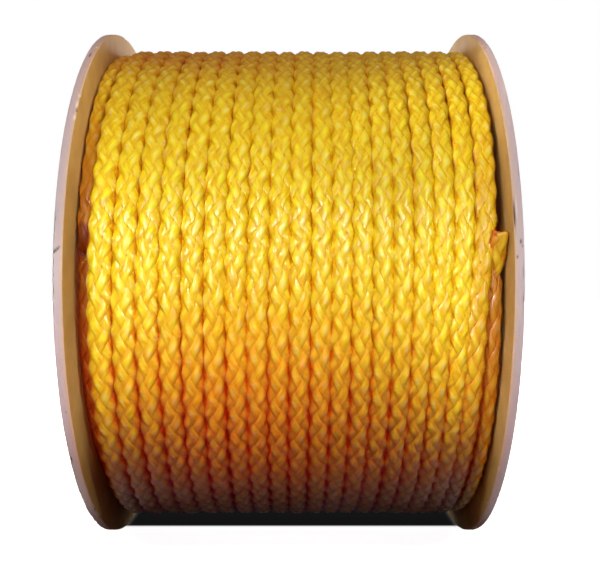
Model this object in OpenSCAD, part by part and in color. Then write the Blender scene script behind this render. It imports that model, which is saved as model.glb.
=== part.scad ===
// Rope reel: two round board flanges, clamped by tie bolts on a paper tube, hold a full
// winding of hollow braided line. The reel lies on its rims with its axle line along X.

/* [Flanges] */
// Diameter of each board flange
flange_d = 203.2; // [198:0.1:260]
// Thickness of the flange board
flange_t = 3; // [2:0.5:6]
// Bevel worn on the corners of the flange rim
rim_bevel = 0.3; // [0.1:0.1:0.8]
// Clear width between the two flanges
traverse = 137; // [110:1:160]
// Diameter of the hole that starts the line through the first flange
start_hole_d = 8; // [6:0.5:12]

/* [Core] */
// Inside diameter of the wound paper tube
tube_bore_d = 76; // [70:1:90]
// Wall of the paper tube
tube_wall = 3; // [2:0.5:6]
// Thickness of the round plug in each end of the tube
plug_t = 12; // [8:1:20]

/* [Arbor] */
// Bore of the arbor bushings
arbor_d = 16.5; // [12:0.1:20]
// Wall of the bushing sleeve
bushing_wall = 1.2; // [0.8:0.1:2]
// Width of the lip round the bushing
bushing_lip_w = 5.5; // [4:0.5:7]
// Thickness of the lip
bushing_lip_t = 1.2; // [0.8:0.1:2]

/* [Tie bolts] */
// Number of tie bolts
bolt_count = 3; // [3:1:6]
// Diameter of the tie bolts
bolt_d = 4.8; // [4:0.1:6]
// Diameter of the circle that the tie bolts stand on
bolt_circle_d = 54; // [50:1:58]
// Diameter of the domed bolt head
head_d = 11; // [9:0.5:13]
// Height of the domed bolt head
head_h = 3.6; // [2.5:0.1:4.5]
// Width of the screwdriver slot
slot_w = 1.3; // [0.8:0.1:1.8]
// Depth of the screwdriver slot
slot_depth = 1.8; // [1:0.1:2.2]
// Diameter of the washers
washer_d = 14; // [12:0.5:16]
// Thickness of the washers
washer_t = 1; // [0.8:0.1:2]
// Width of the nut across its flats
nut_flats = 8.7; // [8:0.1:10]
// Thickness of the nut
nut_h = 3; // [2.5:0.1:4]
// Thread that stands past the nut
thread_stub = 0.6; // [0.2:0.1:3]

/* [Line] */
// Diameter of the braided line as it lies in the winding
line_d = 5.9; // [5.2:0.1:8]
// Space between one turn and the next where they lie closest, beside the tail
turn_gap = 0.43; // [0.42:0.01:1]
// How much wider the turns lie at the start of the layer than beside the tail
turn_spread_w = 0.94; // [0:0.02:1.5]
// Outside diameter of the full winding
wound_d = 190.6; // [170:0.2:196]
// How far the tucked tail lies under the turn beside it
tail_tuck = 1.4; // [0.5:0.1:2]
// Where the tail's free end lies round the winding, in degrees above the axle line
tail_angle = 5; // [0:1:30]
// Where the start dives under the layer, in degrees above the axle line
start_angle = 12; // [0:1:30]
// How far the first turn sinks beside its flange before it dives
start_sink = 2; // [1:0.1:4]

/* [Fits] */
// Clearance between the line and what it lies against
line_clear = 0.3; // [0.3:0.05:0.6]
// Clearance of the plugs in the tube
plug_clear = 0.2; // [0.1:0.05:0.5]
// Clearance of the bushing sleeves in the flanges and plugs
bushing_clear = 0.1; // [0.05:0.05:0.3]
// Clearance of the tie bolts in the flanges, plugs and washers
bolt_clear = 0.3; // [0.1:0.05:0.6]
// Clearance of the nut on its thread
thread_clear = 0.1; // [0.05:0.05:0.2]

/* [Hidden] */
$fn = 96;
cut_through = 1;              // how far a cutting shape runs past the faces it opens

half_w = traverse / 2;        // inner face of a flange, from the middle of the reel
outer_face = half_w + flange_t;
washer_face = outer_face + washer_t;
tube_od = tube_bore_d + 2 * tube_wall;
sleeve_d = arbor_d + 2 * bushing_wall;
lip_d = sleeve_d + 2 * bushing_lip_w;
lip_bevel = bushing_lip_t / 3;
nut_corner_r = nut_flats / 2 / cos(30);
nut_top_r = nut_flats / 2;    // the chamfer leaves a round top face as wide as the flats
start_hole_r = (tube_od + start_hole_d) / 2 + line_clear;   // the hole just clears the tube

// The winding: rings and sides of the tube that stands for the line
loop_rings = 24;
line_sides = 6;
line_r = line_d / 2;
turn_r = (wound_d - line_d) / 2;                // centre of the line in the outer layer
edge_x = half_w - line_r - line_clear;          // centre of a turn that lies at a flange
least_pitch = line_d + turn_gap;
usual_pitch = least_pitch + turn_spread_w / 3; // mean pitch, where the pitch grows by a square
last_turn_x = edge_x - least_pitch + tail_tuck; // the full turn beside the tucked tail
tail_rise_loops = 0.45;                         // the tail climbs back in this share of a loop
front_t = tail_angle / 360;                     // loops from the tail's end to the axle line
tail_aside = edge_x - last_turn_x - least_pitch * front_t;
tail_drop = sqrt(pow(least_pitch, 2) - pow(tail_aside, 2));   // it lies against that turn
spare_pitch = 0.13;                             // share of a pitch that a sunk first turn saves
full_turns = floor((last_turn_x + edge_x) / usual_pitch + spare_pitch) - 1;
dive_t = full_turns + 2 + (tail_angle - start_angle) / 360;
sink_loops = 0.55;                              // the first turn sinks in this share of a loop
dive_bend_r = 1.5 * line_d;
dive_steps = 6;
dive_r = turn_r - start_sink;
dive_lean = asin(dive_bend_r / (dive_r - dive_bend_r));
dive_foot_r = sqrt(pow(dive_r - dive_bend_r, 2) - pow(dive_bend_r, 2));

// The plain core of the inner layers, under the chords of the outer turns
layer_r = (turn_r - line_r) * cos(180 / loop_rings) - line_clear;
left_floor_r = dive_foot_r - line_d - line_clear;
right_floor_r = (turn_r - tail_drop - line_r) * cos(180 / loop_rings) - line_clear;
groove_w = line_d + 2 * line_clear;

// ---------- placing ----------

// Lays a shape modelled along Z on the axle line of the reel
module on_axle() {
    translate([0, 0, flange_d / 2]) rotate([0, 90, 0]) children();
}

// Puts a shape modelled on the right side at either side, -1 left or 1 right
module at_side(side) {
    on_axle()
        if (side > 0) children();
        else mirror([0, 0, 1]) children();
}

module at_bolts() {
    for (i = [0 : bolt_count - 1])
        rotate([0, 0, 180 + i * 360 / bolt_count])
            translate([bolt_circle_d / 2, 0, 0]) children();
}

// ---------- flanges and core ----------

module flange(side) {
    color("burlywood")
    at_side(side) difference() {
        translate([0, 0, half_w]) rotate_extrude()
            polygon([
                [0, 0],
                [flange_d / 2 - rim_bevel, 0],
                [flange_d / 2, rim_bevel],
                [flange_d / 2, flange_t - rim_bevel],
                [flange_d / 2 - rim_bevel, flange_t],
                [0, flange_t]
            ]);
        translate([0, 0, half_w - cut_through])
            cylinder(h = flange_t + 2 * cut_through, d = sleeve_d + 2 * bushing_clear);
        at_bolts() translate([0, 0, half_w - cut_through])
            cylinder(h = flange_t + 2 * cut_through, d = bolt_d + 2 * bolt_clear);
        if (side < 0)
            translate([0, start_hole_r, half_w - cut_through])
                cylinder(h = flange_t + 2 * cut_through, d = start_hole_d);
    }
}

module core_tube() {
    color("tan")
    on_axle() difference() {
        cylinder(h = traverse, d = tube_od, center = true);
        cylinder(h = traverse + 2 * cut_through, d = tube_bore_d, center = true);
    }
}

module hub_plug(side) {
    color("peru")
    at_side(side) difference() {
        translate([0, 0, half_w - plug_t]) cylinder(h = plug_t, d = tube_bore_d - 2 * plug_clear);
        translate([0, 0, half_w - plug_t - cut_through])
            cylinder(h = plug_t + 2 * cut_through, d = sleeve_d + 2 * bushing_clear);
        at_bolts() translate([0, 0, half_w - plug_t - cut_through])
            cylinder(h = plug_t + 2 * cut_through, d = bolt_d + 2 * bolt_clear);
    }
}

module arbor_bushing(side) {
    color("silver")
    at_side(side) difference() {
        union() {
            translate([0, 0, half_w - plug_t])
                cylinder(h = plug_t + flange_t + bushing_lip_t, d = sleeve_d);
            translate([0, 0, outer_face])
                cylinder(h = bushing_lip_t - lip_bevel, d = lip_d);
            translate([0, 0, outer_face + bushing_lip_t - lip_bevel])
                cylinder(h = lip_bevel, d1 = lip_d, d2 = lip_d - 2 * lip_bevel);
        }
        translate([0, 0, half_w - plug_t - cut_through])
            cylinder(h = plug_t + flange_t + bushing_lip_t + 2 * cut_through, d = arbor_d);
    }
}

// ---------- tie bolts ----------

// A domed head on its seat, rising along Z
module bolt_head() {
    dome_r = (pow(head_d / 2, 2) + pow(head_h, 2)) / (2 * head_h);
    difference() {
        intersection() {
            cylinder(h = head_h, d = head_d);
            translate([0, 0, head_h - dome_r]) sphere(r = dome_r);
        }
        translate([-head_d / 2, -slot_w / 2, head_h - slot_depth])
            cube([head_d, slot_w, slot_depth + cut_through]);
    }
}

// Each bolt runs from its head at the left to its nut at the right
module tie_bolts() {
    color("gainsboro")
    on_axle() at_bolts() {
        translate([0, 0, -washer_face])
            cylinder(h = 2 * washer_face + nut_h + thread_stub, d = bolt_d);
        translate([0, 0, -washer_face]) mirror([0, 0, 1]) bolt_head();
    }
}

module washers(side) {
    color("lightgray")
    at_side(side) at_bolts() difference() {
        translate([0, 0, outer_face]) cylinder(h = washer_t, d = washer_d);
        translate([0, 0, outer_face - cut_through])
            cylinder(h = washer_t + 2 * cut_through, d = bolt_d + 2 * bolt_clear);
    }
}

// Hexagon nuts with the corners of the outer face chamfered at 30 degrees
module tie_nuts() {
    color("gainsboro")
    on_axle() at_bolts() difference() {
        translate([0, 0, washer_face]) intersection() {
            cylinder(h = nut_h, r = nut_corner_r, $fn = 6);
            cylinder(h = nut_h, r1 = nut_top_r + nut_h / tan(30), r2 = nut_top_r);
        }
        translate([0, 0, washer_face - cut_through])
            cylinder(h = nut_h + 2 * cut_through, d = bolt_d + 2 * thread_clear);
    }
}

// ---------- the line ----------

// The inner layers as one plain ring, lower beside each flange where the line tucks in
module line_inner_layers() {
    color("goldenrod")
    on_axle() rotate_extrude()
        polygon([
            [tube_od / 2, -half_w],
            [left_floor_r, -half_w],
            [left_floor_r, -half_w + groove_w],
            [layer_r, -half_w + groove_w],
            [layer_r, half_w - groove_w],
            [right_floor_r, half_w - groove_w],
            [right_floor_r, half_w],
            [tube_od / 2, half_w]
        ]);
}

// 0 to 1 with a soft start and end
function ease(s) = let (u = min(1, max(0, s))) u * u * (3 - 2 * u);

// Unit vectors round the axle line: outwards at angle phi, and the way the line runs on
function outward(phi) = [0, -cos(phi), sin(phi)];
function onward(phi) = [0, -sin(phi), -cos(phi)];
function axle_point(x) = [x, 0, flange_d / 2];

// The line runs t loops from the tail's end. Its place along the axle line comes from the
// pitch, which grows from the least pitch by the square of the full turns passed
function helix_x(t) =
    let (turns = t - 1 - front_t)
    last_turn_x - least_pitch * turns
        - turn_spread_w * pow(turns, 3) / (3 * pow(full_turns, 2));
settle_shift = max(0, helix_x(dive_t) + edge_x);
function sinking(t) = ease((t - dive_t + sink_loops) / sink_loops);
function turn_x(t) = max(-edge_x, min(edge_x, helix_x(t) - settle_shift * sinking(t)));
function turn_radius(t) =
    turn_r - tail_drop * (1 - ease(t / tail_rise_loops)) - start_sink * sinking(t);
function turn_point(t) =
    axle_point(turn_x(t)) + turn_radius(t) * outward(tail_angle - 360 * t);

// The start bends down from the outer layer until it points at the axle line
function dive_point(a) =
    axle_point(-edge_x) + (dive_r - dive_bend_r + dive_bend_r * cos(a)) * outward(start_angle)
        + dive_bend_r * sin(a) * onward(start_angle);

tail_end = turn_point(0) - line_d * onward(tail_angle);
dive_end = axle_point(-edge_x) + (dive_foot_r - line_d) * outward(start_angle - dive_lean);
line_path = concat(
    [tail_end],
    [for (i = [0 : ceil(dive_t * loop_rings) - 1]) turn_point(i / loop_rings)],
    [for (i = [0 : dive_steps]) dive_point(i * (90 + dive_lean) / dive_steps)],
    [dive_end]
);

function unit(v) = v / norm(v);
function path_way(p, i) = unit(p[min(i + 1, len(p) - 1)] - p[max(i - 1, 0)]);

// One ring of the tube, with a corner facing outwards
function tube_ring(p, i, r, sides) =
    let (way = path_way(p, i),
         side = unit([1, 0, 0] - way[0] * way),
         out = cross(side, way))
    [for (k = [0 : sides - 1])
        let (a = 90 + k * 360 / sides) p[i] + r * (cos(a) * side + sin(a) * out)];

// A closed tube of triangles along a path
module tube(p, r, sides) {
    rings = len(p);
    points = [for (i = [0 : rings - 1]) each tube_ring(p, i, r, sides)];
    walls = [
        for (i = [0 : rings - 2], k = [0 : sides - 1])
            let (n = (k + 1) % sides, a = i * sides, b = a + sides)
            each [[a + k, b + k, a + n], [a + n, b + k, b + n]]
    ];
    first = [for (k = [1 : sides - 2]) [0, k, k + 1]];
    last_ring = (rings - 1) * sides;
    last = [for (k = [1 : sides - 2]) [last_ring, last_ring + k + 1, last_ring + k]];
    polyhedron(points = points, faces = concat(walls, first, last), convexity = 10);
}

// The outer layer and the tail as one unbroken tube
module line_outer_layer() {
    color("gold") tube(line_path, line_r, line_sides);
}

// Least space between two stretches of the line that lie side by side
apart = loop_rings / 2;
least_gap = min([
    for (i = [0 : len(line_path) - 1 - apart])
        min([for (j = [i + apart : min(i + 3 * apart, len(line_path) - 1)])
            norm(line_path[i] - line_path[j])])
]) - line_d;
echo(least_gap_of_line_mm = least_gap, loops = dive_t, rings = len(line_path));

flange(-1);  // left_flange
flange(1);  // right_flange
core_tube();
hub_plug(-1);  // left_hub_plug
hub_plug(1);  // right_hub_plug
arbor_bushing(-1);  // left_arbor_bushing
arbor_bushing(1);  // right_arbor_bushing
tie_bolts();
washers(-1);  // head_washers
washers(1);  // nut_washers
tie_nuts();
line_inner_layers();
line_outer_layer();
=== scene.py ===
"""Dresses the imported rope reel: a full winding of hollow braided line between two board flanges.

The line is braided strand by strand along its own centre line, the flanges are turned discs
with worn rims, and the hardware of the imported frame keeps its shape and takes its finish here.
"""
import logging
import math
from dataclasses import dataclass, field
from enum import Enum

import bmesh
import bpy
import numpy as np
from bpy.types import Material, Node, NodeSocket, NodeTree, Object
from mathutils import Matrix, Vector, noise
from mathutils.geometry import delaunay_2d_cdt


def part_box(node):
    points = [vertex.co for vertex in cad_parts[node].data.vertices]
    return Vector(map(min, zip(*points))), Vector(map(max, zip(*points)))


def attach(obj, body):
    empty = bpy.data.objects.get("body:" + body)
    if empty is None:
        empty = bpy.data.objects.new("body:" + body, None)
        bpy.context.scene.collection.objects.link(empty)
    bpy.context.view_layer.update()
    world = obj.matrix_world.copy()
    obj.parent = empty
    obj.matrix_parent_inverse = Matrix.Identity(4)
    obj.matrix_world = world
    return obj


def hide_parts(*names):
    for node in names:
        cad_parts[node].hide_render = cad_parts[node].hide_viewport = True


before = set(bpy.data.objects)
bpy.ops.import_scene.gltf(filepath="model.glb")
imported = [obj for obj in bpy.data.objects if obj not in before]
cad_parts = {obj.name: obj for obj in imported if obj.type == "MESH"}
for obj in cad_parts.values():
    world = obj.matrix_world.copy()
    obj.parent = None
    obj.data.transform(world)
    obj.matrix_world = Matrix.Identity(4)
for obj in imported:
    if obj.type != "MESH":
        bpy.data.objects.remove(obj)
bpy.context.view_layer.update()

Array = np.ndarray
Span = tuple[float, ...]
MM = 0.001
ROOT = "root"
log = logging.getLogger("rope_reel")


# ---------- small tools ----------


def linear(hex_colour: str) -> tuple[float, float, float, float]:
    """Turns an sRGB hex colour into a linear one.

    Args:
        hex_colour: The colour as #RRGGBB.

    Returns:
        Linear red, green, blue and an alpha of 1.
    """
    parts = [int(hex_colour[i:i + 2], 16) / 255 for i in (1, 3, 5)]
    red, green, blue = (c / 12.92 if c <= 0.04045 else ((c + 0.055) / 1.055) ** 2.4 for c in parts)
    return red, green, blue, 1.0


def fill(node: Node, sockets: dict) -> None:
    """Sets or links inputs of a node.

    Args:
        node: The node.
        sockets: For each input, by name or place, a value, an output, or a node for its first output.
    """
    for key, value in sockets.items():
        if isinstance(value, Node):
            value = value.outputs[0]
        if isinstance(value, NodeSocket):
            node.id_data.links.new(value, node.inputs[key])
        else:
            node.inputs[key].default_value = value


def add_node(tree: NodeTree, kind: str, sockets: dict | None = None, **settings) -> Node:
    """Adds a node with its settings and links.

    Args:
        tree: The node tree that takes the node.
        kind: Blender's name of the node type, after its "ShaderNode".
        sockets: What its inputs take, as in fill.
        **settings: Attributes of the node, and the stops of a colour ramp as places and hex colours.

    Returns:
        The new node.
    """
    node = tree.nodes.new("ShaderNode" + kind)
    for count, (place, colour) in enumerate(settings.pop("stops", ())):
        elements = node.color_ramp.elements
        stop = elements[count] if count < 2 else elements.new(place)
        stop.position, stop.color = place, linear(colour)
    for name, value in settings.items():
        setattr(node, name, value)
    fill(node, sockets or {})
    return node


def ease(share: Array) -> Array:
    """Goes from 0 to 1 with a soft start and end, held at both."""
    held = np.clip(share, 0.0, 1.0)
    return held * held * (3 - 2 * held)


def rise(value: Array, start: float, width: float) -> Array:
    """Goes softly from 0 at the start to 1 a width further on."""
    return ease((value - start) / width)


def plateau(value: Array, start: float, coming: float, end: float, going: float) -> Array:
    """Comes softly from 0 at the start to 1, and goes back to 0 at the end, over the widths given."""
    return rise(value, start, coming) * ease((end - value) / going)


def drift(along: Array, period: float, seed: int) -> Array:
    """A smooth random wander between about -1 and 1.

    Args:
        along: Where it is wanted, in the units of period.
        period: Distance between one random value and the next.
        seed: Seed of the random values.

    Returns:
        The wander at each place.
    """
    place = (along - along.min()) / period
    values = np.random.default_rng(seed).uniform(-1, 1, int(place.max()) + 3)
    step = place.astype(int)
    share = ease(place - step)
    return values[step] * (1 - share) + values[step + 1] * share


def skin(rows: int, columns: int, rows_close: bool, columns_close: bool) -> Array:
    """Four-cornered faces over a grid of points that runs row by row.

    Args:
        rows: How many rows the grid has.
        columns: How many points a row has.
        rows_close: Whether the last row joins the first.
        columns_close: Whether the last point of a row joins its first.

    Returns:
        The four corners of each face.
    """
    i, j = np.meshgrid(np.arange(rows - (not rows_close)), np.arange(columns - (not columns_close)),
                       indexing="ij")
    start, after, beside = i * columns, (i + 1) % rows * columns, (j + 1) % columns
    return np.stack([start + j, start + beside, after + beside, after + j], axis=-1).reshape(-1, 4)


def new_object(name: str, data: bpy.types.ID) -> Object:
    """Makes an object and links it to the scene."""
    made = bpy.data.objects.new(name, data)
    bpy.context.scene.collection.objects.link(made)
    return made


def mesh_piece(
    name: str,
    points: Array,
    faces: list[Array],
    fields: dict[str, Array] | None = None,
    bake_map: Array | None = None,
) -> Object:
    """Makes one smooth mesh object.

    Args:
        name: Name of the piece.
        points: Vertices, in metres.
        faces: Arrays of faces, each with its own number of corners.
        fields: Values for each vertex that the material reads, by name.
        bake_map: Texture place of each face corner, in the order of the faces.

    Returns:
        The object, linked to the scene and riding on the root body.
    """
    mesh = bpy.data.meshes.new(name)
    counts = np.concatenate([np.full(len(block), block.shape[1]) for block in faces])
    corners = np.concatenate([block.ravel() for block in faces]).astype(np.int32)
    mesh.vertices.add(len(points))
    mesh.vertices.foreach_set("co", points.astype(np.float32).ravel())
    mesh.loops.add(len(corners))
    mesh.loops.foreach_set("vertex_index", corners)
    mesh.polygons.add(len(counts))
    starts = np.concatenate([[0], np.cumsum(counts)[:-1]]).astype(np.int32)
    mesh.polygons.foreach_set("loop_start", starts)
    mesh.update(calc_edges=True)
    mesh.polygons.foreach_set("use_smooth", np.ones(len(counts), bool))
    for label, values in (fields or {}).items():
        mesh.attributes.new(label, "FLOAT", "POINT").data.foreach_set("value", values.astype(np.float32))
    if bake_map is not None:
        mesh.uv_layers.new(name="OFBake").uv.foreach_set("vector", bake_map.astype(np.float32).ravel())
    mesh.validate()
    piece = new_object(name, mesh)
    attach(piece, ROOT)
    return piece


# ---------- finishes ----------


def new_material(name: str) -> tuple[Material, NodeTree, Node]:
    """Starts a material, and gives its node tree and its shader too."""
    made = bpy.data.materials.new(name)
    made.use_nodes = True
    return made, made.node_tree, made.node_tree.nodes["Principled BSDF"]


def lay_over(tree: NodeTree, ground: NodeSocket, layers: tuple) -> NodeSocket:
    """Lays colours over a ground, one after another.

    Args:
        tree: The node tree.
        ground: The colour under them all.
        layers: For each colour the output that says how far it covers, and its hex value.

    Returns:
        The colour that shows.
    """
    for share, tone in layers:
        mix = add_node(tree, "Mix", {0: share, 6: ground, 7: linear(tone)}, data_type="RGBA")
        ground = mix.outputs[2]
    return ground


@dataclass(frozen=True)
class BraidedPolypropylene:
    """Yellow polypropylene film fibre, extruded, split and braided."""

    yellow: str = "#F9E40A"
    deep: str = "#F0C608"
    pale: str = "#FFF32E"
    # Painted shade: the valley tone lies between the strands, the groove's orange between the turns, on the
    # underside and on the top left front, and the deepest tone lies deep beside the flanges and towards the
    # bottom.
    valley_shade: str = "#E4AC10"
    groove: str = "#D45A0E"
    deepest: str = "#6A1C0C"
    # Painted highlight: a pale tone laid on picked crests of the strands.
    painted_highlight: str = "#FFF0A0"
    painted_highlight_share: float = 0.40
    painted_highlight_l: float = 5.0 * MM
    roughness: float = 0.25
    ior: float = 1.49
    specular: float = 0.62
    fibre_pitch: float = 0.30 * MM
    fibre_length: float = 9.0 * MM
    fibre_height: float = 0.02 * MM
    streak_w: float = 0.9 * MM
    streak_l: float = 4.5 * MM
    lump_pitch: float = 1.3 * MM
    lump_height: float = 0.12 * MM

    def material(self) -> Material:
        """Glossy split film: its fine ridges run along each strand and break up the highlights."""
        made, tree, shader = new_material("braided_polypropylene")
        across, along, strand, crest, valley_shade, groove, shade = (
            add_node(tree, "Attribute", attribute_name=label).outputs["Fac"]
            for label in ("across", "along", "strand", "crest", "valley_shade", "groove", "shade"))
        place = add_node(tree, "CombineXYZ", {0: across, 1: along, 2: strand})
        # The last number of each scale gives every strand a pattern of its own.
        ridges, tint, chance, swell = (
            add_node(tree, "TexNoise", {
                "Vector": add_node(tree, "Mapping", {"Vector": place, "Scale": scale}),
                "Scale": 1.0, "Detail": detail})
            for scale, detail in (
                ((1 / self.fibre_pitch, 1 / self.fibre_length, 7.3), 2.0),
                ((1 / self.streak_w, 1 / self.streak_l, 3.1), 1.0),
                ((0.0, 1 / self.painted_highlight_l, 4.7), 0.0),
                ((1 / self.lump_pitch, 0.6 / self.lump_pitch, 5.7), 0.0)))
        colour = add_node(tree, "ValToRGB", {0: tint}, stops=(
            (0.36, self.deep), (0.62, self.pale), (0.48, self.yellow)))
        # Painted highlight: the pale tone covers picked crests of the strands.
        top = add_node(tree, "MapRange", {"Value": crest, "From Min": 0.45, "From Max": 0.95},
                       interpolation_type="SMOOTHSTEP")
        picked = add_node(tree, "MapRange", {
            "Value": chance, "From Min": 0.40, "From Max": 0.62, "To Max": self.painted_highlight_share})
        painted_highlight_mask = add_node(tree, "Math", {0: top, 1: picked}, operation="MULTIPLY")
        # Painted highlight on picked crests, then painted shade: between the strands, in the grooves and in
        # the deepest tone.
        shown = lay_over(tree, colour.outputs[0], (
            (painted_highlight_mask, self.painted_highlight), (valley_shade, self.valley_shade), (groove, self.groove), (shade, self.deepest)))
        broad = add_node(tree, "Bump", {"Height": swell, "Distance": self.lump_height, "Strength": 1.0})
        relief = add_node(tree, "Bump", {
            "Height": ridges, "Distance": self.fibre_height, "Strength": 1.0, "Normal": broad})
        fill(shader, {"Base Color": shown, "Normal": relief, "Roughness": self.roughness,
                      "IOR": self.ior, "Specular IOR Level": self.specular})
        return made


@dataclass(frozen=True)
class Hardboard:
    """Pressed wood fibre board, smooth on both faces and sawn round its rim."""

    face: str = "#DDBA6E"
    face_dark: str = "#CFA95E"
    rim_inner: str = "#DDC0A4"
    rim_outer: str = "#CDBDBF"
    rim_fresh: str = "#F6E6D2"
    rim_dark_tone: str = "#4A3230"
    roughness: float = 0.55
    rim_roughness: float = 0.9
    sheen: float = 0.25
    grain: float = 0.6 * MM
    grain_height: float = 0.05 * MM
    sawn_height: float = 0.2 * MM
    mottle: float = MM / 0.09
    fuzz: float = MM / 0.42

    def face_material(self) -> Material:
        """Smooth pressed face: a faint mottle of fibres under a dull sheen."""
        made, tree, shader = new_material("hardboard_face")
        place = add_node(tree, "TexCoord").outputs["Object"]
        mottle = add_node(tree, "TexNoise", {
            "Vector": place, "Scale": 1 / self.mottle, "Detail": 6.0, "Roughness": 0.6})
        colour = add_node(tree, "ValToRGB", {0: mottle}, stops=((0.35, self.face_dark), (0.65, self.face)))
        fibres = add_node(tree, "TexNoise", {"Vector": place, "Scale": 1 / self.grain, "Detail": 3.0})
        relief = add_node(tree, "Bump", {"Height": fibres, "Distance": self.grain_height, "Strength": 0.6})
        fill(shader, {"Base Color": colour, "Normal": relief, "Roughness": self.roughness,
                      "Specular IOR Level": self.sheen})
        return made

    def rim_material(self) -> Material:
        """Sawn rim: pale broken fibres, pinkish outside and peach towards the line."""
        made, tree, shader = new_material("hardboard_sawn_rim")
        place = add_node(tree, "TexCoord").outputs["Object"]
        depth, fresh, darkening = (add_node(tree, "Attribute", attribute_name=label).outputs["Fac"]
                              for label in ("depth", "fresh", "darkening"))
        fuzz = add_node(tree, "TexNoise", {"Vector": place, "Scale": 1 / self.fuzz, "Detail": 5.0})
        mixed = add_node(tree, "Math", {0: fuzz, 1: 0.5, 2: depth}, operation="MULTIPLY_ADD")
        colour = add_node(tree, "ValToRGB", {0: mixed}, stops=(
            (0.30, self.rim_inner), (0.75, self.rim_outer)))
        shown = lay_over(tree, colour.outputs[0], ((fresh, self.rim_fresh), (darkening, self.rim_dark_tone)))
        fibres = add_node(tree, "TexNoise", {"Vector": place, "Scale": 1 / self.grain, "Detail": 4.0})
        relief = add_node(tree, "Bump", {"Height": fibres, "Distance": self.sawn_height, "Strength": 0.8})
        fill(shader, {"Base Color": shown, "Normal": relief, "Roughness": self.rim_roughness})
        return made


@dataclass(frozen=True)
class ZincPlate:
    """Mild steel, pressed or cold headed, then zinc plated."""

    colour: str = "#C9CBC8"
    dull: str = "#A9ABA6"
    roughness: float = 0.34
    bloom: float = MM / 0.26

    def material(self) -> Material:
        """Bright zinc with a faint dull bloom, so its reflections are broad and soft."""
        made, tree, shader = new_material("zinc_plated_steel")
        bloom = add_node(tree, "TexNoise", {
            "Vector": add_node(tree, "TexCoord").outputs["Object"], "Scale": 1 / self.bloom, "Detail": 4.0})
        colour = add_node(tree, "ValToRGB", {0: bloom}, stops=((0.40, self.dull), (0.62, self.colour)))
        fill(shader, {"Base Color": colour, "Metallic": 1.0, "Roughness": self.roughness})
        return made


@dataclass(frozen=True)
class WoundPaper:
    """Kraft paper, glued and wound in a spiral into a tube."""

    paper: str = "#B8946A"
    seam: str = "#8A6A48"
    ply_w: float = 60.0 * MM
    roughness: float = 0.8

    def material(self) -> Material:
        """Matt brown paper with a darker line where one ply meets the next."""
        made, tree, shader = new_material("wound_kraft_paper")
        plies = add_node(tree, "TexWave", {
            "Vector": add_node(tree, "TexCoord").outputs["Object"], "Scale": 0.314 / self.ply_w,
            "Distortion": 0.4})
        colour = add_node(tree, "ValToRGB", {0: plies.outputs["Fac"]}, stops=(
            (0.01, self.seam), (0.05, self.paper)))
        fill(shader, {"Base Color": colour, "Roughness": self.roughness})
        return made


@dataclass(frozen=True)
class ParticleBoard:
    """Wood chips pressed into a board with resin."""

    pale: str = "#D9BE92"
    dark: str = "#A8824F"
    chip: float = 2.5 * MM
    roughness: float = 0.7

    def material(self) -> Material:
        """Flat chips of pale and darker wood, side by side."""
        made, tree, shader = new_material("particle_board")
        chips = add_node(tree, "TexVoronoi", {
            "Vector": add_node(tree, "TexCoord").outputs["Object"], "Scale": 1 / self.chip})
        tone = add_node(tree, "RGBToBW", {0: chips.outputs["Color"]})
        colour = add_node(tree, "ValToRGB", {0: tone}, stops=((0.25, self.dark), (0.75, self.pale)))
        fill(shader, {"Base Color": colour, "Roughness": self.roughness})
        return made


# ---------- the line ----------


@dataclass
class Route:
    """A centre line with its own directions at even steps, in metres."""

    points: Array
    along: Array
    fields: dict[str, Array]
    onward: Array = field(init=False)
    aside: Array = field(init=False)
    outward: Array = field(init=False)

    def __post_init__(self) -> None:
        """Works out the directions: onward, aside along the axle line, and outward."""
        way = np.gradient(self.points, axis=0)
        self.onward = way / np.linalg.norm(way, axis=1, keepdims=True)
        across = np.array([1.0, 0.0, 0.0]) - self.onward[:, :1] * self.onward
        self.aside = across / np.linalg.norm(across, axis=1, keepdims=True)
        self.outward = np.cross(self.onward, self.aside)

    @classmethod
    def evenly(cls, points: Array, fields: dict[str, Array], step: float) -> "Route":
        """Lays even steps along a fine line of points.

        Args:
            points: The line, in metres.
            fields: Values for each point: half the width that the line fills, how flat it is, and how
            far the painted orange shade and the painted deepest shade cover it.
            step: Distance between stations.

        Returns:
            The route.
        """
        lengths = np.concatenate([[0.0], np.cumsum(np.linalg.norm(np.diff(points, axis=0), axis=1))])
        stations = np.linspace(0.0, lengths[-1], round(lengths[-1] / step) + 1)
        even = np.stack([np.interp(stations, lengths, points[:, k]) for k in range(3)], axis=1)
        return cls(even, stations, {label: np.interp(stations, lengths, f) for label, f in fields.items()})


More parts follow.
